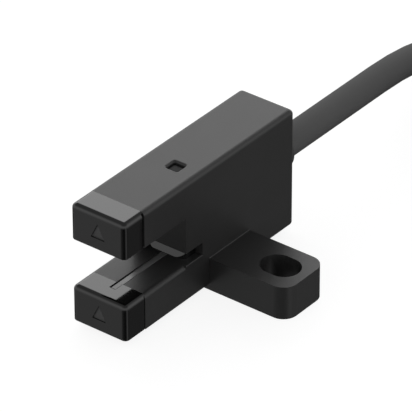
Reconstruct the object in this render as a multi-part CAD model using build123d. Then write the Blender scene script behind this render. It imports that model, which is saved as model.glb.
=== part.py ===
from build123d import *
import math
import os

# Slot sensor with a 5 mm fork, a side lug and a flying lead, in millimetres.
# Origin: centre of the lug's slot on the mounting plane. +X points out of the open end of the fork,
# +Y from the body to the lug, and +Z up from the mounting plane.

# Lug and its slot for an M3 screw
slot_width = 3.3
slot_length = 4.1
slot_to_side = 5.95
slot_to_tip = 15.35
lug_width = 6.1
lug_height = 3.5
lug_end = 3.0
lug_corner = 1.5
foot_step = 0.7

# Outer body
body_length = 25.3
body_width = 6.32
prong_height = 3.83
gap = 5.0
gap_depth = 8.85
edge_round = 0.5
base_round = 0.3
under_round = 0.1
inner_round = 0.08

# Walls of the case
wall = 0.6
back_wall = 0.8
cover_plate = 0.6
cover_ledge = 0.15
cover_start = 1.5
fit = 0.05

# Optic caps on the prongs, with a tongue in each gap face
cap_length = 2.8
cap_front = 0.7
spigot_length = 1.3
spigot_wall = 0.3
tongue_width = 0.7
tongue_offset = 0.16
tongue_from_tip = 1.8
face_step = 0.12
upper_seam = (0.3, 0.2)
lower_seam = (0.15, 0.1)
mark_side = 1.6
mark_lift = 0.05
mark_depth = 0.14

# Undercut at the closed end of the gap, with the sloping latch head of the lower tongue
notch_depth = 2.45
notch_height = 1.35
notch_inset = 1.07
notch_wall = 0.4
head_setback = 0.57
head_length = 1.75
head_to_side = 0.78
head_corner = 0.9
head_near_corner = 1.9
head_near_trim = 0.76
head_slope = (0.8, 1.25)

# Indicator window in the top
window_from_tip = 10.7
window_offset = 0.56
window_size = 1.3
window_corner = 0.12
window_rim = 0.25
window_sunk = 0.3
flange_margin = 0.25
flange_thickness = 0.25

# Emitter and receiver packages
optic_axis_from_tip = 2.45
package_length = 2.4
package_width = 3.0
package_front_air = 0.15
lens_radius = 0.8
lens_height = 0.4
lead_size = 0.3
lead_reach = 9.8
slit_plate = 0.15
slit_opening = 0.5

# Circuit board, standing on edge in the middle of the body
board_thickness = 0.6
board_offset = 0.16
board_edge_gap = 0.35
board_front_gap = 0.4
post_radius = 0.6
post_inset = 1.3

# Parts on the board: length, height and thickness
chip_size = (3.0, 3.0, 0.95)
chip_pitch = 0.65
chip_legs = 4
chip_leg = (0.3, 0.55, 0.15)
transistor_size = (2.9, 1.3, 1.0)
transistor_leg = (0.4, 0.4, 0.2)
transistor_to_post = 1.1
diode_size = (1.7, 1.25, 0.9)
chip_resistor = (1.6, 0.8, 0.45)
chip_capacitor = (1.6, 0.8, 0.8)
lamp_size = (1.6, 0.5, 0.8)
lamp_lens = 0.35
part_air = 0.4

# Cable and its moulded bush
cable = 2.9
bush_size = 4.0
bush_reach = 1.6
bush_round = 0.06
bush_flange = 4.5
bush_flange_thickness = 0.8
bush_tail = 3.4
bush_tail_length = 1.4
core = 0.7
core_spread = 0.9
core_inside = 3.2

# Route of the cable: straight out, then down and a little aside to the coil
straight_end = 32.5
tube_end = 41.5
landing = 44.5
landing_bend = 12.0

# Coil that stores the rest of the length
coil_distance = 53.0
coil_radius = 15.8
coil_layers = 3
coil_columns = 3
coil_lift = 0.55
tail_angles = (-95, -108, -121, -134, -147)
tail_depths = (2.4, 1.6, 0.8, 0.2, 0)
tail_run = 2.5
tail_sunk = 0.1
tie_angle = 45
tie_width = 3.5
tie_thickness = 0.45
tie_corner = 1.6
tie_air = 0.1

# Stripped cores at the far end
far_core = 0.8
far_core_pitch = 1.0
far_run = 3.6
far_step = 18
far_fan = 1.6
tip_size = 0.5
tip_length = 4.0

# Places that follow from the sizes
tip = slot_to_tip
seam = tip - cap_length
gap_end = tip - gap_depth
back = tip - body_length
near = -slot_to_side
far = near - body_width
middle = (near + far) / 2
under = foot_step
low_face = under + prong_height
high_face = low_face + gap
top = high_face + prong_height
gap_middle = (low_face + high_face) / 2
inner_back = back + back_wall
cable_z = (under + top) / 2
tongue_y = middle + tongue_offset
plug_inset = wall + fit + spigot_wall
package_back = tip - cap_front - package_front_air - package_length
package_height = prong_height - 2 * plug_inset - slit_plate - lens_height - fit
lead_z = under + plug_inset + package_height - lead_size
board_near = middle + board_offset + board_thickness / 2
board_far = board_near - board_thickness
board_low = under + wall + board_edge_gap
board_high = top - wall - board_edge_gap - flange_thickness
board_back = inner_back + board_edge_gap
board_foot = gap_end - notch_depth - notch_wall - board_front_gap
bush_inner_end = inner_back + bush_flange_thickness + bush_tail_length
cable_floor = coil_lift + cable / 2
coil_top = coil_lift + coil_layers * cable
coil_x = -coil_distance
coil_lane = far + cable / 2
coil_y = coil_lane + coil_radius + cable * (coil_columns - 1) / 2


def block(x, y, z):
    """A box between two limits along each axis."""
    size = [abs(b - a) for a, b in (x, y, z)]
    centre = [(a + b) / 2 for a, b in (x, y, z)]
    return Pos(*centre) * Box(*size)


def rod(radius, start, end):
    """A round bar along X between two points."""
    centre = (Vector(*start) + Vector(*end)) * 0.5
    return Pos(*centre) * Rot(0, 90, 0) * Cylinder(radius, abs(end[0] - start[0]))


def on_upper_prong(part):
    """The same part on the other prong."""
    return part.mirror(Plane.XY.offset(gap_middle))


def edges_at(part, along, **place):
    """Edges along one axis whose middle lies at the given places, such as y=near."""
    chosen = []
    for edge in part.edges().filter_by(along):
        centre = edge.center()
        found = {"x": centre.X, "y": centre.Y, "z": centre.Z}
        if all(abs(found[name] - value) < 1e-4 for name, value in place.items()):
            chosen.append(edge)
    return chosen


def long_edges(part, radius, y_and_z):
    """The part with its edges along X rounded at the given places."""
    chosen = [edge for y, z in y_and_z for edge in edges_at(part, Axis.X, y=y, z=z)]
    return fillet(chosen, radius)


def upper_prong_shape():
    """Outer form of the upper prong behind its cap, and of the top over the body."""
    prong = block((0, seam), (far, near), (high_face, top))
    prong = long_edges(prong, edge_round, [(near, top), (far, top)])
    return long_edges(prong, under_round, [(near, high_face), (far, high_face)])


def lower_prong_shape():
    """Outer form of the lower prong behind its cap. Half of its gap face lies a step lower."""
    low_half = low_face - face_step
    prong = block((0, seam), (far, near), (under, low_half))
    prong = prong + block((0, seam), (far, tongue_y), (under, low_face))
    prong = long_edges(prong, edge_round, [(near, low_half), (far, low_face)])
    return long_edges(prong, base_round, [(far, under)])


def body_shape():
    """Outer form behind the gap. The rear part is rounded at its back and underneath too."""
    front = block((0, gap_end), (far, near), (under, top))
    front = long_edges(front, edge_round, [(near, top), (far, top)])
    front = long_edges(front, base_round, [(far, under)])
    rear = block((back, 0), (far, near), (under, top))
    chosen = edges_at(rear, Axis.Y, x=back, z=top)
    for y in (far, near):
        chosen += edges_at(rear, Axis.X, y=y, z=top)
        chosen += edges_at(rear, Axis.Z, x=back, y=y)
    rear = fillet(chosen, edge_round)
    return front + long_edges(rear, base_round, [(near, under), (far, under)])


def lug_shape():
    """Foot plate under the body and the lug beside it, in one piece."""
    half = lug_width / 2
    lug = block((-half, half), (near - wall, lug_end), (0, lug_height))
    corners = [edge for x in (-half, half) for edge in edges_at(lug, Axis.Z, x=x, y=lug_end)]
    foot = block((-half, half), (far, near), (0, foot_step))
    return fillet(corners, lug_corner) + foot


def slot_cut():
    """Slot through the lug, longer across the body than along it."""
    slot = SlotOverall(slot_length, slot_width, rotation=90)
    return Pos(0, 0, -fit) * extrude(slot, lug_height + 2 * fit)


def pocket(grow, y_from, y_to):
    """Fork-shaped hollow between two values of y, with its outline grown by a margin."""
    x_back = inner_back - grow
    x_neck = gap_end - wall + grow
    x_front = seam - cover_start + grow
    low, low_inner = under + wall - grow, low_face - wall + grow
    high_inner, high = high_face + wall - grow, top - wall + grow
    outline = [
        (x_back, low),
        (x_front, low),
        (x_front, low_inner),
        (x_neck, low_inner),
        (x_neck, high_inner),
        (x_front, high_inner),
        (x_front, high),
        (x_back, high),
    ]
    face = Plane.XZ.offset(-y_from) * Polygon(*outline, align=None)
    return extrude(face, -(y_to - y_from))


def prong_bore():
    """Hollow at the end of the lower prong, which takes the cap's plug."""
    x = (seam - cover_start - fit, seam + fit)
    return block(x, (far + wall, near - wall), (under + wall, low_face - wall))


def tongue_space(x, z):
    """Space of the tongue in the lower gap face."""
    half = tongue_width / 2
    return block(x, (tongue_y - half, tongue_y + half), z)


def notch_space():
    """Undercut at the closed end of the gap, open to the lug's side."""
    x = (gap_end - notch_depth, gap_end + fit)
    floor = low_face - face_step
    return block(x, (far + notch_inset, near + fit), (floor, floor + notch_height))


def notch_walls():
    """Walls that shut the undercut off from the hollow of the case."""
    ceiling = low_face - face_step + notch_height
    x = (gap_end - notch_depth - notch_wall, gap_end)
    return block(x, (far + cover_plate, near), (low_face - wall, ceiling + notch_wall))


def post_places():
    """Rear bottom, rear top and front of the board, as x and z."""
    rear = board_back + post_inset
    front = package_back - lead_reach - post_radius - part_air
    low, high = board_low + post_inset, board_high - post_inset
    return [(rear, low), (rear, high), (front, low)]


def board_posts(y_from, y_to):
    """Posts that carry the board, from one side of the case."""
    for x, z in post_places():
        yield Pos(x, (y_from + y_to) / 2, z) * Rot(90, 0, 0) * Cylinder(post_radius, abs(y_to - y_from))


def window_place():
    return tip - window_from_tip, middle + window_offset


def on_rim(edge, x, y, half):
    """Whether an edge in the top lies within a distance of a point."""
    centre = edge.center()
    return abs(centre.Z - top) < 1e-4 and abs(centre.X - x) < half and abs(centre.Y - y) < half


def make_case():
    """One moulding: both prongs behind the caps, the body and the lug."""
    outer = upper_prong_shape() + lower_prong_shape() + body_shape() + lug_shape()
    outer = long_edges(outer, inner_round, [(near, lug_height)])
    rebate = pocket(cover_ledge, far - fit, far + cover_plate)
    case = outer - slot_cut() - pocket(0, far - fit, near - wall)
    case = case + notch_walls() - rebate - prong_bore() - on_upper_prong(prong_bore())
    through_wall = (low_face - wall - fit, low_face + fit)
    lower_slot = tongue_space((gap_end - head_setback - head_corner, seam + fit), through_wall)
    upper_slot = on_upper_prong(tongue_space((gap_end, seam + fit), through_wall))
    case = case - lower_slot - upper_slot - notch_space()
    case = long_edges(case, inner_round, [(near, low_face - face_step)])
    case = case - rod(bush_size / 2 + fit, (back - fit, middle, cable_z), (inner_back + fit, middle, cable_z))
    x, y = window_place()
    opening = extrude(RectangleRounded(window_size, window_size, window_corner), wall + 2 * fit)
    case = case - Pos(x, y, top - wall - fit) * opening
    half = window_size / 2 + fit
    case = fillet([edge for edge in case.edges() if on_rim(edge, x, y, half)], window_rim)
    for post in board_posts(board_near, near - wall / 2):
        case = case + post
    return case


def make_side_cover():
    """Flat plate that closes the case on the side away from the lug, with its posts."""
    plate = pocket(cover_ledge - fit, far, far + cover_plate - fit)
    for post in board_posts(far + cover_plate / 2, board_far):
        plate = plate + post
    return plate


def cap_mark(z_low):
    """Triangle that marks the optical axis, sunk in the front face of a cap."""
    half = mark_side / 2
    centre_z = z_low + prong_height / 2 + mark_lift
    face = Plane(origin=(tip, middle, centre_z), x_dir=(0, 1, 0), z_dir=(1, 0, 0))
    triangle = Polygon((-half, -half), (half, -half), (0, half), align=None)
    return extrude(face * triangle, -mark_depth)


def cap_shell(softer, sharper, seam_groove):
    """Outer form of a lower cap, whose flat sides at two heights have softer and sharper edges.

    A groove along the seam runs up both of its sides.
    """
    shell = block((seam, tip), (far, near), (under, low_face))
    chosen = edges_at(shell, Axis.Y, x=tip, z=softer)
    for y in (far, near):
        chosen += edges_at(shell, Axis.X, y=y, z=softer)
        chosen += edges_at(shell, Axis.Z, x=tip, y=y)
    shell = fillet(chosen, edge_round)
    flat = [face for face in shell.faces().filter_by(Axis.Z) if abs(face.center().Z - sharper) < fit][0]
    rim = [edge for edge in flat.edges() if edge.center().X > seam + fit]
    shell = fillet(rim, under_round)
    width, depth = seam_groove
    ring = block((seam - fit, seam + width), (far - fit, near + fit), (under - fit, low_face + fit))
    inside = block((seam - fit, seam + width), (far + depth, near - depth), (under - fit, low_face + fit))
    return shell - (ring - inside)


def make_cap(softer, sharper, seam_groove):
    """Glossy cap of the lower prong: shell, plug, hollow and the tongue along the gap face."""
    plug = block(
        (seam - spigot_length, seam + seam_groove[0]),
        (far + wall + fit, near - wall - fit),
        (under + wall + fit, low_face - wall - fit),
    )
    hollow = block(
        (seam - spigot_length - fit, tip - cap_front),
        (far + plug_inset, near - plug_inset),
        (under + plug_inset, low_face - plug_inset),
    )
    cap = cap_shell(softer, sharper, seam_groove) + plug - hollow
    cap = cap - tongue_space((seam - fit, tip - tongue_from_tip), (low_face - face_step, low_face + fit))
    return cap + tongue(gap_end + fit, seam + seam_groove[0])


def tongue(x_from, x_to):
    """Strip that lies in the slot of the gap face."""
    half = tongue_width / 2 - fit / 2
    return block((x_from, x_to), (tongue_y - half, tongue_y + half), (low_face - wall, low_face - face_step))


def latch_head():
    """Head of the lower tongue, which slides up the undercut on its slope and then holds the cap."""
    x_front = gap_end - head_setback
    x_rear = x_front - head_length
    y = (far + notch_inset + fit, near - head_to_side)
    bottom = low_face - face_step
    head_top = bottom + notch_height - fit
    head = block((x_rear, x_front), y, (bottom, head_top))
    slope_length, slope_height = head_slope
    slope = Polygon(
        (x_front, head_top - slope_height),
        (x_front, head_top),
        (x_front - slope_length, head_top),
        align=None,
    )
    sloping = head - extrude(Plane.XZ * slope, both=True, amount=body_width * 2)
    y_full = (y[0], y[1] + head_near_trim)
    rounded = block((x_front - 2 * head_near_corner, x_front), y_full, (bottom, head_top))
    rounded = fillet(edges_at(rounded, Axis.Z, x=x_front, y=y_full[0]), head_corner)
    rounded = fillet(edges_at(rounded, Axis.Z, x=x_front, y=y_full[1]), head_near_corner)
    return sloping & rounded


def make_lower_cap():
    neck = tongue(gap_end - head_setback - head_corner + fit, gap_end + fit)
    return make_cap(low_face, under, lower_seam) + neck + latch_head() - cap_mark(under)


def make_upper_cap():
    return on_upper_prong(make_cap(under, low_face, upper_seam)) - cap_mark(high_face)


def make_indicator_window():
    """Clear window of the indicator, with a flange under the top wall."""
    size = window_size - 2 * fit
    pane = extrude(RectangleRounded(size, size, window_corner - fit), wall - window_sunk + fit)
    flange_size = window_size + 2 * flange_margin
    flange = Pos(0, 0, -flange_thickness / 2) * Box(flange_size, flange_size, flange_thickness)
    return Pos(*window_place(), top - wall) * (Pos(0, 0, -fit) * pane + flange)


def make_receiver():
    """Moulded package with a round lens towards the gap, lying on the outer wall of its cap."""
    floor = under + plug_inset
    half = package_width / 2
    x = (package_back, package_back + package_length)
    body = block(x, (tongue_y - half, tongue_y + half), (floor, floor + package_height))
    ball_radius = (lens_radius**2 + lens_height**2) / (2 * lens_height)
    lens_top = floor + package_height + lens_height
    ball = Pos(tip - optic_axis_from_tip, tongue_y, lens_top - ball_radius) * Sphere(ball_radius)
    above = block(x, (tongue_y - half, tongue_y + half), (floor + package_height - fit, lens_top))
    return body + (ball & above)


def make_receiver_leads():
    """Two flat leads from the package back to both faces of the board."""
    x = (package_back - lead_reach, package_back)
    z = (lead_z, lead_z + lead_size)
    return [block(x, (y, y + lead_size), z) for y in (board_near, board_far - lead_size)]


def make_slit_plate():
    """Thin screen with a slit over the receiver's lens, under the inner wall of the cap."""
    z_top = low_face - plug_inset
    plate = block(
        (seam - spigot_length + fit, tip - cap_front - fit),
        (far + plug_inset + fit, near - plug_inset - fit),
        (z_top - slit_plate, z_top),
    )
    x = tip - optic_axis_from_tip
    half = slit_opening / 2
    through = (z_top - slit_plate - fit, z_top + fit)
    return plate - block((x - lens_radius, x + lens_radius), (tongue_y - half, tongue_y + half), through)


def make_circuit_board():
    """Board with its front foot behind the undercut and a notch for the cable bush."""
    x_nose = gap_end - wall - board_front_gap
    z_step = low_face - face_step + notch_height + notch_wall + board_front_gap
    tall = block((board_back, x_nose), (board_far, board_near), (z_step, board_high))
    foot = block((board_back, board_foot), (board_far, board_near), (board_low, z_step))
    clear = bush_flange / 2 + fit
    x = (board_back - fit, bush_inner_end + fit)
    return tall + foot - block(x, (board_far - fit, board_near + fit), (cable_z - clear, cable_z + clear))


def on_board(side, x, z, size):
    """A box on one face of the board, centred at x and z."""
    length, height, thickness = size
    y = (board_near, board_near + thickness) if side == "near" else (board_far - thickness, board_far)
    return block((x - length / 2, x + length / 2), y, (z - height / 2, z + height / 2))


def chip_place():
    """Beside the ends of the inner cores."""
    return bush_inner_end + core_inside + part_air + chip_size[0] / 2, cable_z


def make_control_chip():
    """Chip with four gull legs along its upper and lower edges."""
    x, z = chip_place()
    width, reach, thickness = chip_leg
    chip = on_board("far", x, z, chip_size)
    for i in range(chip_legs):
        leg_x = x + (i - (chip_legs - 1) / 2) * chip_pitch
        chip = chip + on_board("far", leg_x, z, (width, chip_size[1] + 2 * reach, thickness))
    return chip


def make_resistors():
    """Chip resistors in two rows, above and below the control chip."""
    x, z = chip_place()
    row = chip_size[1] / 2 + chip_leg[1] + part_air + chip_resistor[1] / 2
    column = (chip_resistor[0] + part_air) / 2
    return [on_board("far", x + i * column, z + j * row, chip_resistor) for i in (-1, 1) for j in (-1, 1)]


def transistor_place():
    """Behind the front post, over the lower edge of the board."""
    x = post_places()[-1][0] - post_radius - transistor_to_post - transistor_size[0] / 2
    return x, board_low + transistor_leg[1] + transistor_size[1] / 2 + part_air


def make_output_transistor():
    """Three-legged transistor that switches the output."""
    x, z = transistor_place()
    width, reach, thickness = transistor_leg
    part = on_board("near", x, z, transistor_size)
    pitch = transistor_size[0] / 2 - width
    for shift, way in ((-pitch, 1), (pitch, 1), (0, -1)):
        leg_z = z + way * (transistor_size[1] + reach) / 2
        part = part + on_board("near", x + shift, leg_z, (width, reach, thickness))
    return part


def diode_place():
    """Above the transistor."""
    x, z = transistor_place()
    return x, z + transistor_size[1] / 2 + transistor_leg[1] + part_air + diode_size[1] / 2


def make_protection_diode():
    return on_board("near", *diode_place(), diode_size)


def make_capacitors():
    """Chip capacitors in a column beside the ends of the inner cores, higher than the diode."""
    x, z = chip_place()[0], diode_place()[1]
    pitch = chip_capacitor[1] + part_air
    start = z + (diode_size[1] + chip_capacitor[1]) / 2 + part_air
    return [on_board("near", x, start + i * pitch, chip_capacitor) for i in (0, 1)]


def make_indicator_lamp():
    """Lamp at the top edge of the board, under the window."""
    x = window_place()[0]
    body = on_board("near", x, board_high - lamp_size[1] / 2, lamp_size)
    return body + Pos(x, board_near + lamp_size[2] / 2, board_high) * Cylinder(lamp_lens, 2 * fit)


def make_cable_bush():
    """Moulded bush: collar outside, neck through the back wall, flange and tail inside."""
    y, z = middle, cable_z
    neck = rod(bush_size / 2, (back - bush_reach, y, z), (inner_back, y, z))
    neck = fillet(neck.edges().filter_by(GeomType.CIRCLE).sort_by(Axis.X)[0], bush_round)
    flange_end = inner_back + bush_flange_thickness
    flange = rod(bush_flange / 2, (inner_back, y, z), (flange_end, y, z))
    return neck + flange + rod(bush_tail / 2, (flange_end, y, z), (bush_inner_end, y, z))


def core_places():
    """Where the four cores leave the bush, as y and z, two on each face of the board."""
    return {
        "brown": (board_near + core / 2, cable_z + core_spread / 2),
        "blue": (board_near + core / 2, cable_z - core_spread / 2),
        "black": (board_far - core / 2, cable_z + core_spread / 2),
        "white": (board_far - core / 2, cable_z - core_spread / 2),
    }


def make_inner_core(y, z):
    """Insulated core from the bush to its pad on the board."""
    return rod(core / 2, (bush_inner_end, y, z), (bush_inner_end + core_inside, y, z))


def corner_radii(points):
    """Arc at each corner of a route: 0.45 of the shorter run over the tangent of half the turn."""
    radii = []
    for a, b, c in zip(points, points[1:], points[2:]):
        first, second = Vector(*b) - Vector(*a), Vector(*c) - Vector(*b)
        turn = math.radians(first.get_angle(second))
        radii.append(0.45 * min(first.length, second.length) / math.tan(turn / 2))
    return radii


def tube(points, diameter):
    """A round cord along straight runs joined by tangent arcs."""
    radii = corner_radii(points)
    path = FilletPolyline(*points, radius=radii)
    solid = sweep(Plane(origin=path @ 0, z_dir=path % 0) * Circle(diameter / 2), path)
    share = solid.volume / (math.pi * diameter**2 / 4 * path.length)
    print(f"tube {path.length:.1f} mm, radii {[round(r, 1) for r in radii]}, volume share {share:.4f}")
    return solid


def cable_route():
    """Points of the cable from the bush to where it lands beside the coil."""
    return [
        (back - bush_reach, middle, cable_z),
        (-straight_end, middle, cable_z),
        (-landing, coil_lane, cable_floor),
    ]


def tube_route():
    """The same points, but the last one lies where the coil's own solid takes over."""
    start, corner, end = (Vector(*point) for point in cable_route())
    share = (tube_end - straight_end) / (landing - straight_end)
    return [tuple(start), tuple(corner), tuple(corner + (end - corner) * share)]


def round_coil(angle, radius, z):
    """A point at an angle round the middle of the coil."""
    turn = math.radians(angle)
    return (coil_x + radius * math.cos(turn), coil_y + radius * math.sin(turn), z)


def tail_end():
    """End of the jacket on top of the coil, with its direction and the way out from the coil."""
    turn = math.radians(tail_angles[-1])
    outward = Vector(math.cos(turn), math.sin(turn), 0)
    along = Vector(math.sin(turn), -math.cos(turn), 0)
    last = Vector(*round_coil(tail_angles[-1], coil_radius, coil_top + cable / 2 - tail_sunk))
    return last + along * tail_run, along, outward


def tail_route():
    """Points of the cable's end, which comes up out of the turns and lies on them."""
    z_top = coil_top + cable / 2 - tail_sunk
    points = [round_coil(angle, coil_radius, z_top - depth) for angle, depth in zip(tail_angles, tail_depths)]
    return points + [tail_end()[0]]


def make_cable_coil():
    """Outer form of the wound turns, with the entry stretch and the end on top."""
    width = coil_columns * cable + 2 * fit
    height = coil_layers * cable + 2 * fit
    outline = RectangleRounded(width, height, cable / 2)
    section = Plane.XZ * Pos(coil_radius, (coil_lift + coil_top) / 2) * outline
    ring = Pos(coil_x, coil_y, 0) * revolve(section, Axis.Z)
    joined, landed = tube_route()[-1], cable_route()[-1]
    path = FilletPolyline(joined, landed, (coil_x, coil_lane, cable_floor), radius=landing_bend)
    entry = sweep(Plane(origin=path @ 0, z_dir=path % 0) * Circle(cable / 2), path)
    return ring + entry + tube(tail_route(), cable)


def make_coil_tie():
    """Flat tie round the bundle of turns."""
    width = coil_columns * cable + 2 * tie_air
    height = coil_layers * cable + 2 * tie_air
    wrap = 2 * tie_thickness
    outer = RectangleRounded(width + wrap, height + wrap, tie_corner + tie_thickness)
    inner = RectangleRounded(width, height, tie_corner)
    band = Pos(coil_radius, (coil_lift + coil_top) / 2) * (outer - inner)
    arc = math.degrees(tie_width / coil_radius)
    start = Rot(0, 0, tie_angle - arc / 2) * (Plane.XZ * band)
    return Pos(coil_x, coil_y, 0) * revolve(start, Axis.Z, revolution_arc=arc)


def far_core_route(index):
    """Points of one stripped core, which comes down on the coil and fans out."""
    side, level = (-1, 1)[index % 2], (-1, 1)[index // 2]
    end, along, outward = tail_end()
    offset = outward * (side * far_core_pitch / 2) + Vector(0, 0, level * far_core_pitch / 2)
    first = end + offset
    second = first + along * far_run
    rest = coil_radius + (side + level / 2) * far_fan
    z_rest = coil_top + 2 * fit + far_core / 2
    start = tail_angles[-1] - math.degrees(math.atan((tail_run + far_run) / coil_radius))
    reached = math.hypot(second.X - coil_x, second.Y - coil_y)
    between = round_coil(start - far_step, (reached + rest) / 2, (second.Z + z_rest) / 2)
    laid = [round_coil(start - (i + 2) * far_step, rest, z_rest) for i in (0, 1)]
    return [tuple(first), tuple(second), between, *laid]


def make_far_tips():
    """Tinned ends of the four cores."""
    for index in range(4):
        before, last = (Vector(*point) for point in far_core_route(index)[-2:])
        face = Plane(origin=last, z_dir=last - before) * Circle(tip_size / 2)
        yield extrude(face, tip_length)


def as_one(parts):
    """A node made of several separate solids."""
    return Compound([solid for part in parts for solid in part.solids()])


def make_nodes():
    """Every piece of the sensor, by name."""
    nodes = {
        "case": make_case(),
        "side_cover": make_side_cover(),
        "lower_optic_cap": make_lower_cap(),
        "upper_optic_cap": make_upper_cap(),
        "indicator_window": make_indicator_window(),
        "receiver": make_receiver(),
        "receiver_leads": as_one(make_receiver_leads()),
        "receiver_slit_plate": make_slit_plate(),
        "emitter": on_upper_prong(make_receiver()),
        "emitter_leads": as_one([on_upper_prong(lead) for lead in make_receiver_leads()]),
        "circuit_board": make_circuit_board(),
        "control_chip": make_control_chip(),
        "output_transistor": make_output_transistor(),
        "protection_diode": make_protection_diode(),
        "resistors": as_one(make_resistors()),
        "capacitors": as_one(make_capacitors()),
        "indicator_lamp": make_indicator_lamp(),
        "cable_bush": make_cable_bush(),
        "cable": tube(tube_route(), cable),
        "cable_coil": make_cable_coil(),
        "coil_tie": make_coil_tie(),
        "lead_core_tips": as_one(make_far_tips()),
    }
    for index, (colour, (y, z)) in enumerate(core_places().items()):
        nodes[f"inner_core_{colour}"] = make_inner_core(y, z)
        nodes[f"lead_core_{colour}"] = tube(far_core_route(index), far_core)
    return nodes


os.makedirs("parts", exist_ok=True)
for name, part in make_nodes().items():
    export_step(part, f"parts/{name}.step")
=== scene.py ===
# %% [markdown]
# # A slot sensor in black plastic
#
# The sensor is a small fork: light crosses the gap between its two prongs, and whatever passes through
# the gap breaks the beam. Its rigid pieces come from the frame at their true size, so this lesson is
# about what is left: the camera, the cable that has to lie in smooth turns, the few pieces that are
# finer than the solids, the finishes of black plastic, and light that shows black on white.

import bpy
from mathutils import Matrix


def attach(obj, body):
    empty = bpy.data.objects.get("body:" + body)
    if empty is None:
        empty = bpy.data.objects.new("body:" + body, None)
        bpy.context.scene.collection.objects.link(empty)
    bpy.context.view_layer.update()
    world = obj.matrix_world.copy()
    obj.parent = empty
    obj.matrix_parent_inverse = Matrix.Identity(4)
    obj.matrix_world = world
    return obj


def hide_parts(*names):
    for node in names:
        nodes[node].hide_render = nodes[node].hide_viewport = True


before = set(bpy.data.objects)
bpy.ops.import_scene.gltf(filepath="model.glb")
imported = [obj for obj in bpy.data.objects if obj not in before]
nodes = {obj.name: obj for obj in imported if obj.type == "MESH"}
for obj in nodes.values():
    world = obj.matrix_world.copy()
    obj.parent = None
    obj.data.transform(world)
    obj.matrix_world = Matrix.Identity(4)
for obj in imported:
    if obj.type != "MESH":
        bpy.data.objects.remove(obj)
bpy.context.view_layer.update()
print(len(nodes), "pieces from the frame")

# %% Tools of this lesson
import math

import bpy
import numpy as np
from mathutils import Matrix, Vector

mm = 0.001
scene = bpy.context.scene

# %% [markdown]
# ## The camera
#
# A product photograph of such a small thing is taken from far away with a long lens, so that parallel
# edges stay nearly parallel. The camera could be aimed with a constraint, but its own axes say the same
# without one: they are the columns of its matrix. One axis points from the aim to the camera, one lies
# level, and the third follows from these two. A roll of a tenth of a degree finishes the match.

# %% Set up the camera
aim = Vector((1.223, -7.753, 7.601)) * mm
bearing = math.radians(37.96)
height_angle = math.radians(32.76)
roll = math.radians(-0.128)
camera_distance = 421.1 * mm
sensor_width = 36.0
lens_length = 398.8


def level_direction(angle):
    """Unit vector on the floor at an angle from +X towards +Y."""
    return Vector((math.cos(angle), math.sin(angle), 0))


def raised_direction(angle, rise):
    """Unit vector at an angle from +X towards +Y, raised from the floor by a second angle."""
    return level_direction(angle) * math.cos(rise) + Vector((0, 0, math.sin(rise)))


def looking_matrix(place, towards_viewer, turn=0.0):
    """Matrix of a thing at a place. Its Z axis points towards the viewer and its X axis lies level."""
    across = Vector((0, 0, 1)).cross(towards_viewer).normalized()
    upright = towards_viewer.cross(across)
    axes = Matrix((across, upright, towards_viewer)).transposed() @ Matrix.Rotation(turn, 3, "Z")
    return Matrix.Translation(place) @ axes.to_4x4()


def set_up_camera():
    """A long lens that looks at the aim."""
    data = bpy.data.cameras.new("camera")
    data.lens = lens_length
    data.sensor_width = sensor_width
    data.clip_start = 0.01
    camera = bpy.data.objects.new("camera", data)
    scene.collection.objects.link(camera)
    backwards = raised_direction(bearing, height_angle)
    camera.matrix_world = looking_matrix(aim + backwards * camera_distance, backwards, roll)
    scene.camera = camera
    return camera


camera = set_up_camera()
print("camera at", [round(value, 4) for value in camera.matrix_world.translation])

# %% [markdown]
# ## The cable and its coil
#
# The real cable is one piece about a metre long: it leaves the moulded bush straight, sinks to the
# table and is wound into a tight round coil. A swept tube could follow straight runs and arcs, but it
# would look like bent wire. A NURBS curve uses the same few points only as guides and is smooth
# everywhere, so it bends as a real cable does. The turns of the coil come from a loop over columns and
# layers: each turn is a circle, and in the last part of it the cable steps to the next place.

# %% Route of the cable
cable_diameter = 2.9 * mm
cable_middle = -9.11 * mm
cable_exit = Vector((-11.55 * mm, cable_middle, 7.03 * mm))
table_height = 2.0 * mm
middle_turn = 15.8 * mm
coil_lane = -10.82 * mm
coil_centre = Vector((-53.0 * mm, coil_lane + middle_turn + cable_diameter, 0))
points_per_turn = 24
step_angle = 2 * math.pi / points_per_turn
entry_angle = math.radians(-90)


def round_the_coil(angle, radius, height):
    """A point at an angle, radius and height round the middle of the coil."""
    out = level_direction(angle) * radius
    return coil_centre + Vector((out.x, out.y, height))


def turn_places():
    """Radius and height of each turn: inwards, outwards and inwards again, one layer on the other."""
    columns = [middle_turn + cable_diameter * side for side in (1, 0, -1)]
    for layer in range(3):
        order = columns if layer % 2 == 0 else columns[::-1]
        for radius in order:
            yield radius, table_height + cable_diameter * layer


def blend_between(start, end, share):
    """From start to end in a smooth step, for a share from 0 to 1."""
    share = min(max(share, 0.0), 1.0)
    return start + (end - start) * share * share * (3 - 2 * share)


step_length = 0.15
step_lead = 0.02
turns_end = 0.56
last_turn_laid = 10.6 * mm
tail_end = -147.0
tail_points_laid = 16
tail_haste = 1.3
tail_run = 2.5 * mm


def step_begins(number):
    """Share of a turn after which it steps to the next place, a little sooner in each turn."""
    return 1 - step_length - step_lead * number


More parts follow.
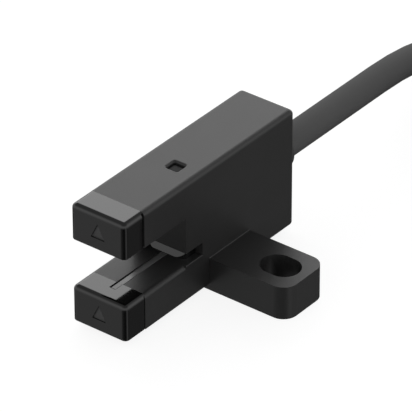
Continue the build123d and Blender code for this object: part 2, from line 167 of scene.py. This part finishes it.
def coil_points():
    """The turns. Late in each one, the cable steps to the place of the next one.

    The curve touches the lines between its guide points halfway, so these stand a little outside
    the turn and half a step ahead.
    """
    places = list(turn_places())
    reach = 1 / math.cos(step_angle / 2)
    for number, (radius, height) in enumerate(places[:-1]):
        for i in range(points_per_turn):
            share = ((i + 0.5) / points_per_turn - step_begins(number)) / step_length
            r = blend_between(radius, places[number + 1][0], share)
            h = blend_between(height, places[number + 1][1], share)
            yield round_the_coil(entry_angle - (i + 0.5) * step_angle, r * reach, h)
    for i in range(int(points_per_turn * turns_end)):
        yield round_the_coil(entry_angle - (i + 0.5) * step_angle, places[-1][0] * reach, places[-1][1])


def tail_points():
    """The last turn climbs onto the others, drifts to the middle column and runs off straight."""
    inner, top_layer = list(turn_places())[-1]
    climb_start = 270 - 360 * turns_end
    climb_end = climb_start - 360 * step_length
    for angle in np.linspace(climb_start, tail_end, tail_points_laid + 1)[1:]:
        climbed = (climb_start - angle) / (climb_start - climb_end)
        drifted = (climb_end - angle) / (climb_end - tail_end) * tail_haste
        radius = blend_between(inner, middle_turn, drifted)
        height = blend_between(top_layer, last_turn_laid, climbed)
        yield round_the_coil(math.radians(angle), radius, height)
    end = round_the_coil(math.radians(tail_end), middle_turn, last_turn_laid)
    yield end + level_direction(math.radians(tail_end - 90)) * tail_run


straight_guides = (-21.5 * mm, -33.5 * mm)
landing = -44.5 * mm
cable_route = [
    cable_exit,
    *(Vector((x, cable_middle, cable_exit.z)) for x in straight_guides),
    Vector((landing, coil_lane, table_height)),
    *coil_points(),
    *tail_points(),
]
print(len(cable_route), "guide points")


# %% Make the cable
def smooth_curve(name, points, radius, sides=10):
    """An open NURBS curve with a round section, guided by the points.

    The radius stands at the points and the bevel multiplies it by one. The other way round, Blender
    would think the curve's box two metres wide.
    """
    data = bpy.data.curves.new(name, "CURVE")
    data.dimensions = "3D"
    data.bevel_depth = 1.0 if radius else 0.0
    data.bevel_resolution = sides
    data.use_fill_caps = True
    data.resolution_u = 4
    spline = data.splines.new("NURBS")
    spline.points.add(len(points) - 1)
    spline.points.foreach_set("co", [value for point in points for value in (*point, 1.0)])
    spline.points.foreach_set("radius", [radius] * len(points))
    spline.order_u = 3
    spline.use_endpoint_u = True
    curve = bpy.data.objects.new(name, data)
    scene.collection.objects.link(curve)
    return curve


def centreline(points):
    """The points that a smooth curve passes, read from a copy with no section."""
    bare = smooth_curve("bare_line", points, 0.0)
    bpy.context.view_layer.update()
    mesh = bpy.data.meshes.new_from_object(bare.evaluated_get(bpy.context.evaluated_depsgraph_get()))
    line = np.empty(len(mesh.vertices) * 3, np.float32)
    mesh.vertices.foreach_get("co", line)
    bpy.data.meshes.remove(mesh)
    bpy.data.objects.remove(bare)
    return line.reshape(-1, 3).astype(float)


def line_length(line):
    """Sum of the distances from each point to the next."""
    return float(np.linalg.norm(np.diff(line, axis=0), axis=1).sum())


cable = smooth_curve("jacket", cable_route, cable_diameter / 2)
cable_length = line_length(centreline(cable_route))
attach(cable, "root")
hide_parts("cable", "cable_coil")
print(f"cable {cable_length * 1000:.0f} mm long")

# %% [markdown]
# ## Shader sums
#
# A finish is a chain of small sums: a noise, its height, a little of it added to the roughness. Nodes
# could be placed and linked one by one, but the sums would be hard to read. A small class that wraps a
# socket lets plain Python signs add the Math nodes, and one method makes any other node.


# %% A wire that can be used in sums
class Wire:
    """An output socket. Sums with numbers and other wires add Math nodes to its material."""

    def __init__(self, tree, socket):
        self.tree = tree
        self.socket = socket

    def node(self, kind, settings, sockets, output=0):
        """Adds a node: its settings first, then a value or a wire for each named or numbered socket."""
        made = self.tree.nodes.new(kind)
        for name, value in settings.items():
            if name == "stops":
                stops = made.color_ramp.elements
                while len(stops) < len(value):
                    stops.new(1.0)
                for stop, (position, tone) in zip(stops, value):
                    stop.position = position
                    stop.color = (tone, tone, tone, 1)
            else:
                setattr(made, name, value)
        for name, value in sockets.items():
            if isinstance(value, Wire):
                self.tree.links.new(value.socket, made.inputs[name])
            else:
                made.inputs[name].default_value = value
        return Wire(self.tree, made.outputs[output])

    def sum(self, operation, first, second):
        return self.node("ShaderNodeMath", {"operation": operation}, {0: first, 1: second})

    def __add__(self, other):
        return self.sum("ADD", self, other)

    def __radd__(self, other):
        return self.sum("ADD", other, self)

    def __sub__(self, other):
        return self.sum("SUBTRACT", self, other)

    def __rsub__(self, other):
        return self.sum("SUBTRACT", other, self)

    def __mul__(self, other):
        return self.sum("MULTIPLY", self, other)

    def __rmul__(self, other):
        return self.sum("MULTIPLY", other, self)

    def noise(self, size, detail=2.0):
        """Cloudy pattern whose spots measure about the size, from 0 to 1 with most of it near a half."""
        sockets = {"Vector": self, "Scale": 1 / size, "Detail": detail}
        return self.node("ShaderNodeTexNoise", {}, sockets)

    def stretched(self, along_x, along_y, along_z):
        """The same coordinates, with patterns stretched by a factor along each axis."""
        scale = (1 / along_x, 1 / along_y, 1 / along_z)
        return self.node("ShaderNodeMapping", {}, {"Vector": self, "Scale": scale})

    def along(self, axis):
        """One component of the coordinates, by the name of its axis."""
        return self.node("ShaderNodeSeparateXYZ", {}, {0: self}, output="XYZ".index(axis))

    def table(self, *stops):
        """The tone of the stops where the wire has their positions, with straight lines between."""
        return self.node("ShaderNodeValToRGB", {"stops": stops}, {"Fac": self})

    def between(self, low, high):
        """1 where the wire lies between two values and 0 elsewhere."""
        return self.sum("GREATER_THAN", self, low) * self.sum("LESS_THAN", self, high)

    def around(self, middle, reach):
        """1 within a distance of a value and 0 elsewhere."""
        return self.between(middle - reach, middle + reach)

    def tint(self, dark, light):
        """A colour between dark and light, where the wire gives the share of light."""
        sockets = {0: self, 6: (*dark, 1), 7: (*light, 1)}
        return self.node("ShaderNodeMix", {"data_type": "RGBA"}, sockets, output=2)

    def relief(self, depth):
        """A normal for a surface whose height is the wire's value times the depth."""
        return self.node("ShaderNodeBump", {}, {"Height": self, "Distance": depth, "Strength": 1.0})


def new_finish(name):
    """An empty material and the wire of its Object coordinates."""
    material = bpy.data.materials.new(name)
    material.use_nodes = True
    tree = material.node_tree
    return material, Wire(tree, tree.nodes.new("ShaderNodeTexCoord").outputs["Object"])


def settle(material, **values):
    """Gives the material's shader its values and wires. base_color means the socket Base Color."""
    shader = material.node_tree.nodes["Principled BSDF"]
    for name, value in values.items():
        socket = shader.inputs[name.replace("_", " ").title().replace("Ior", "IOR")]
        if isinstance(value, Wire):
            material.node_tree.links.new(value.socket, socket)
        else:
            socket.default_value = (*value, 1) if isinstance(value, tuple) else value
    return material


def grey(tone):
    return (tone, tone, tone)


# %% [markdown]
# ## Black that isn't one black
#
# The case is moulded against a spark-eroded steel tool, which leaves a fine even grain, so it looks
# matt and rather grey where light falls along it. The caps are another plastic, polished and nearly
# black, because only infrared light has to pass through them. A single roughness would make both look
# like paint. The grain is a bump with spots of a tenth of a millimetre, and a slow cloud varies the
# roughness as handling does. What is too fine for the solids, such as the joint line beside the tongue
# in the lower cap, is a mask: the product of a few steps along the axes.


# %% Finish of the case
grain_size = 0.11 * mm
cloud_size = 2.5 * mm


def moulded_grain(name, tone, roughness, grain_depth):
    material, place = new_finish(name)
    grain = place.noise(grain_size, 3.0)
    cloud = place.noise(cloud_size)
    return settle(
        material,
        base_color=cloud.tint(grey(tone * 0.92), grey(tone * 1.08)),
        roughness=roughness + (cloud - 0.5) * 0.04 + (grain - 0.5) * 0.08,
        specular_ior_level=0.34,
        normal=grain.relief(grain_depth),
    )


case_black = moulded_grain("case_black", 0.022, 0.38, 0.005 * mm)
bush_grey = moulded_grain("bush_grey", 0.050, 0.5, 0.0025 * mm)


# %% Finish of the optic caps
cap_front = 15.35 * mm
mark_floor = cap_front - 0.14 * mm
mark_middles = (2.665 * mm, 11.495 * mm)
tongue_ends = (5.93 * mm, 13.56 * mm)
tongue_middle = -8.95 * mm
tongue_half = 0.35 * mm
tongue_height = 4.2 * mm
joint_height = 4.4 * mm
joint_half = 0.05 * mm


def polished_black(name, tone, roughness, shine=0.5):
    """Smooth plastic, whose polish varies a little."""
    material, place = new_finish(name)
    wave = place.noise(1.2 * mm, 1.0)
    return settle(
        material,
        base_color=wave.tint(grey(tone * 0.9), grey(tone * 1.1)),
        roughness=roughness + (wave - 0.5) * 0.03,
        specular_ior_level=shine,
    )


def cap_finish():
    """Polished, but duller along the tongue in the gap face, in its joint line and in the sunk marks.
    The tongue also carries painted light: its colour is lighter deep in the gap, where the upper prong
    shades it, and fades out towards the tip.
    """
    material, place = new_finish("cap_black")
    wave = place.noise(1.2 * mm, 1.0)
    specks = place.noise(0.08 * mm)
    x, y, z = (place.along(axis) for axis in "XYZ")
    in_reach = x.between(*tongue_ends)
    tongue_and_painted_light = in_reach * y.around(tongue_middle, tongue_half) * z.around(tongue_height, 0.25 * mm)
    # Painted light: the tongue is lightened deep in the gap, where the upper prong shades it, fading out
    # towards the tip; its duller polish follows the same fade.
    tongue_and_painted_light = tongue_and_painted_light * (x * (0.05 / mm)).table((0.45, 1.0), (0.66, 0.0))
    side_joint = in_reach * y.around(tongue_middle + tongue_half - 0.01 * mm, joint_half)
    end_joint = x.around(tongue_ends[1] + 0.02 * mm, 0.03 * mm) * y.around(tongue_middle, 0.36 * mm)
    joint = (side_joint + end_joint) * z.around(joint_height, 0.15 * mm)
    sunk = x.around(mark_floor, 0.01 * mm) * y.around(cable_middle, mm)
    mark = sunk * (z.around(mark_middles[0], mm) + z.around(mark_middles[1], mm))
    uneven = (wave - 0.5) * 0.03 + (specks - 0.5) * tongue_and_painted_light * 0.1
    return settle(
        material,
        # The tongue's lighter colour is painted light standing in for the shade deep in the gap.
        base_color=(tongue_and_painted_light + mark * 0.4).tint(grey(0.005), grey(0.11)),
        roughness=0.05 + uneven + tongue_and_painted_light * 0.3 + mark * 0.4 + joint * 0.8,
        specular_ior_level=0.48,
    )


cap_black = cap_finish()
window_black = polished_black("window_black", 0.006, 0.3, 0.05)


# %% Finish of the cable
def jacket_finish():
    """Soft plastic with fine lines from the die, which run mostly along the straight stretch."""
    material, place = new_finish("jacket_grey")
    lines = place.stretched(30, 1, 1).noise(0.12 * mm)
    cloud = place.noise(3.0 * mm)
    return settle(
        material,
        base_color=cloud.tint(grey(0.118), grey(0.128)),
        roughness=0.8 + (lines - 0.5) * 0.12,
        specular_ior_level=0.05,
        normal=lines.relief(0.003 * mm),
    )


jacket_grey = jacket_finish()


# %% Finishes of the small pieces
def plain_plastic(name, colour, roughness, speck=0.1 * mm):
    material, place = new_finish(name)
    spots = place.noise(speck)
    dark = tuple(0.9 * value for value in colour)
    light = tuple(min(1.08 * value, 1.0) for value in colour)
    return settle(
        material,
        base_color=spots.tint(dark, light),
        roughness=roughness + (spots - 0.5) * 0.1,
        normal=spots.relief(0.002 * mm),
    )


def tinned_metal(name, tone, roughness):
    material, place = new_finish(name)
    smears = place.stretched(4, 1, 1).noise(0.08 * mm, 3.0)
    return settle(
        material,
        base_color=smears.tint(grey(tone * 0.85), grey(tone)),
        metallic=1.0,
        roughness=roughness + (smears - 0.5) * 0.2,
        normal=smears.relief(0.003 * mm),
    )


core_colours = {
    "brown": (0.13, 0.045, 0.018),
    "blue": (0.02, 0.09, 0.40),
    "black": (0.012, 0.012, 0.012),
    "white": (0.75, 0.75, 0.72),
}
finishes = {
    "case": case_black,
    "side_cover": case_black,
    "lower_optic_cap": cap_black,
    "upper_optic_cap": cap_black,
    "indicator_window": window_black,
    "cable_bush": bush_grey,
    "coil_tie": plain_plastic("tie_black", grey(0.02), 0.4),
    "receiver": polished_black("receiver_epoxy", 0.02, 0.12),
    "emitter": plain_plastic("emitter_epoxy", (0.08, 0.10, 0.16), 0.12),
    "receiver_leads": tinned_metal("tinned_leads", 0.62, 0.3),
    "receiver_slit_plate": tinned_metal("blackened_sheet", 0.06, 0.5),
    "circuit_board": plain_plastic("solder_mask", (0.02, 0.12, 0.05), 0.3, 0.3 * mm),
    "control_chip": plain_plastic("package_black", grey(0.025), 0.6),
    "resistors": plain_plastic("resistor_black", grey(0.02), 0.35),
    "capacitors": plain_plastic("capacitor_tan", (0.42, 0.28, 0.17), 0.5),
    "indicator_lamp": plain_plastic("lamp_white", (0.8, 0.78, 0.7), 0.3),
}
finishes["emitter_leads"] = finishes["lead_core_tips"] = finishes["receiver_leads"]
finishes["output_transistor"] = finishes["protection_diode"] = finishes["control_chip"]
for colour, rgb in core_colours.items():
    insulation = plain_plastic(f"insulation_{colour}", rgb, 0.35)
    finishes[f"inner_core_{colour}"] = finishes[f"lead_core_{colour}"] = insulation


def dress(piece, material):
    """Puts the material in the piece's slots, or adds one."""
    if not piece.material_slots:
        piece.data.materials.append(material)
    for slot in piece.material_slots:
        slot.material = material


for name, material in finishes.items():
    dress(nodes[name], material)
dress(cable, jacket_grey)
print("still undressed:", sorted(set(nodes) - set(finishes) - {"cable", "cable_coil"}))

# %% [markdown]
# ## White table and soft light
#
# Black plastic shows its form by what it mirrors. A wide soft panel stands low behind the sensor, just
# where a flat top mirrors it into the camera, so faces that look up turn grey while upright faces stay
# dark. Round the room runs a bright band with a dark ceiling over it: a rounded edge mirrors first the
# ceiling as a thin dark line and then the band as a light one. That is what makes the edges read. The
# soft light that matt faces see comes more from the sides than from above, which keeps the cable even.
#
# The table could be made white with more light, but that would grey the plastic. It shines a little of
# its own for the camera instead, which leaves the sensor's shadow on it.


# %% Table and surroundings
def wires_of_rays(tree, *names):
    """1 for rays of one of the named kinds and 0 for others."""
    rays = tree.nodes.new("ShaderNodeLightPath")
    kinds = [Wire(tree, rays.outputs[f"Is {name} Ray"]) for name in names]
    total = kinds[0]
    for kind in kinds[1:]:
        total = total.sum("MAXIMUM", total, kind)
    return total


def white_table(scatter, own_light):
    """A pale surface that adds its own light for the camera and in reflections."""
    material, place = new_finish("white_table")
    seen = wires_of_rays(place.tree, "Camera", "Glossy", "Transmission")
    return settle(
        material,
        base_color=grey(scatter),
        roughness=0.9,
        specular_ior_level=0.0,
        emission_color=seen.tint(grey(0.0), grey(own_light)),
        emission_strength=1.0,
    )


def disc(name, radius, sides=96):
    """A flat round face on the floor: points at even angles on a circle."""
    angles = np.linspace(0, 2 * np.pi, sides, endpoint=False)
    points = np.stack([radius * np.cos(angles), radius * np.sin(angles), np.zeros(sides)], axis=1)
    mesh = bpy.data.meshes.new(name)
    mesh.from_pydata(points.tolist(), [], [list(range(sides))])
    piece = bpy.data.objects.new(name, mesh)
    scene.collection.objects.link(piece)
    return piece


floor = disc("floor", radius=6.0)
floor.visible_glossy = False
dress(floor, white_table(scatter=0.28, own_light=0.86))

band_tone = 1.30
ceiling_tone = 0.40


def room_tone(direction):
    """What a polished face mirrors: a bright band round the room, a dark ceiling and an uneven table.

    The table is darkest where the camera stands, brighter to both sides of it and dark again behind
    the sensor. Each table goes by a share: 0 and 1 are straight one way and the other along its
    direction, and 0.5 is square to it.
    """
    x, y, z = (direction.along(axis) for axis in "XYZ")
    ahead, sideways = level_direction(bearing), level_direction(bearing + math.pi / 2)
    forward = x * (ahead.x / 2) + y * (ahead.y / 2) + 0.5
    aside = x * (sideways.x / 2) + y * (sideways.y / 2) + 0.5
    height = z * 0.5 + 0.5
    left_tones = (0.09, 0.52), (0.13, 0.25), (0.25, 0.10), (0.50, 0.02)
    right_tones = (0.66, 0.05), (0.78, 0.80), (0.90, 0.13)
    table = aside.table(*left_tones, *right_tones) * forward.table((0.25, 0.1), (0.42, 1.0))
    low = height.table((0.25, 1.0), (0.54, 0.0))
    high = height.table((0.68, 0.0), (0.87, 1.0))
    return (1 - low) * (1 - high) * band_tone + high * ceiling_tone + low * table


def surround(light_level):
    """A white world for the camera, the room's tones for reflections and a soft light for the rest."""
    world = bpy.data.worlds.new("surroundings")
    scene.world = world
    world.use_nodes = True
    tree = world.node_tree
    direction = Wire(tree, tree.nodes.new("ShaderNodeTexCoord").outputs["Object"])
    camera_rays = wires_of_rays(tree, "Camera")
    mirrored = wires_of_rays(tree, "Glossy", "Transmission")
    background = tree.nodes["Background"]
    background.inputs["Color"].default_value = (1, 1, 1, 1)
    others = (1 - camera_rays) * (1 - mirrored)
    from_sides = (direction.along("Z") * 0.5 + 0.5).table((0.5, 1.0), (0.95, 0.2))
    strength = camera_rays + mirrored * room_tone(direction) + others * from_sides * light_level
    tree.links.new(strength.socket, background.inputs["Strength"])


surround(light_level=1.25)


# %% The lamp
lamp_aim = Vector((0, -9 * mm, 7 * mm))


def soft_panel(name, angle, rise, distance, width, height, radiance):
    """A rectangular lamp that faces the sensor, with the given radiance whatever its size."""
    data = bpy.data.lights.new(name, "AREA")
    data.shape = "RECTANGLE"
    data.size = width
    data.size_y = height
    data.energy = radiance * math.pi * width * height
    lamp = bpy.data.objects.new(name, data)
    scene.collection.objects.link(lamp)
    outwards = raised_direction(math.radians(angle), math.radians(rise))
    lamp.matrix_world = looking_matrix(lamp_aim + outwards * distance, outwards)
    return lamp


behind = math.degrees(bearing) + 180
soft_panel("back_panel", behind, rise=33, distance=0.6, width=0.9, height=0.24, radiance=2.0)
scene.view_settings.view_transform = "Standard"
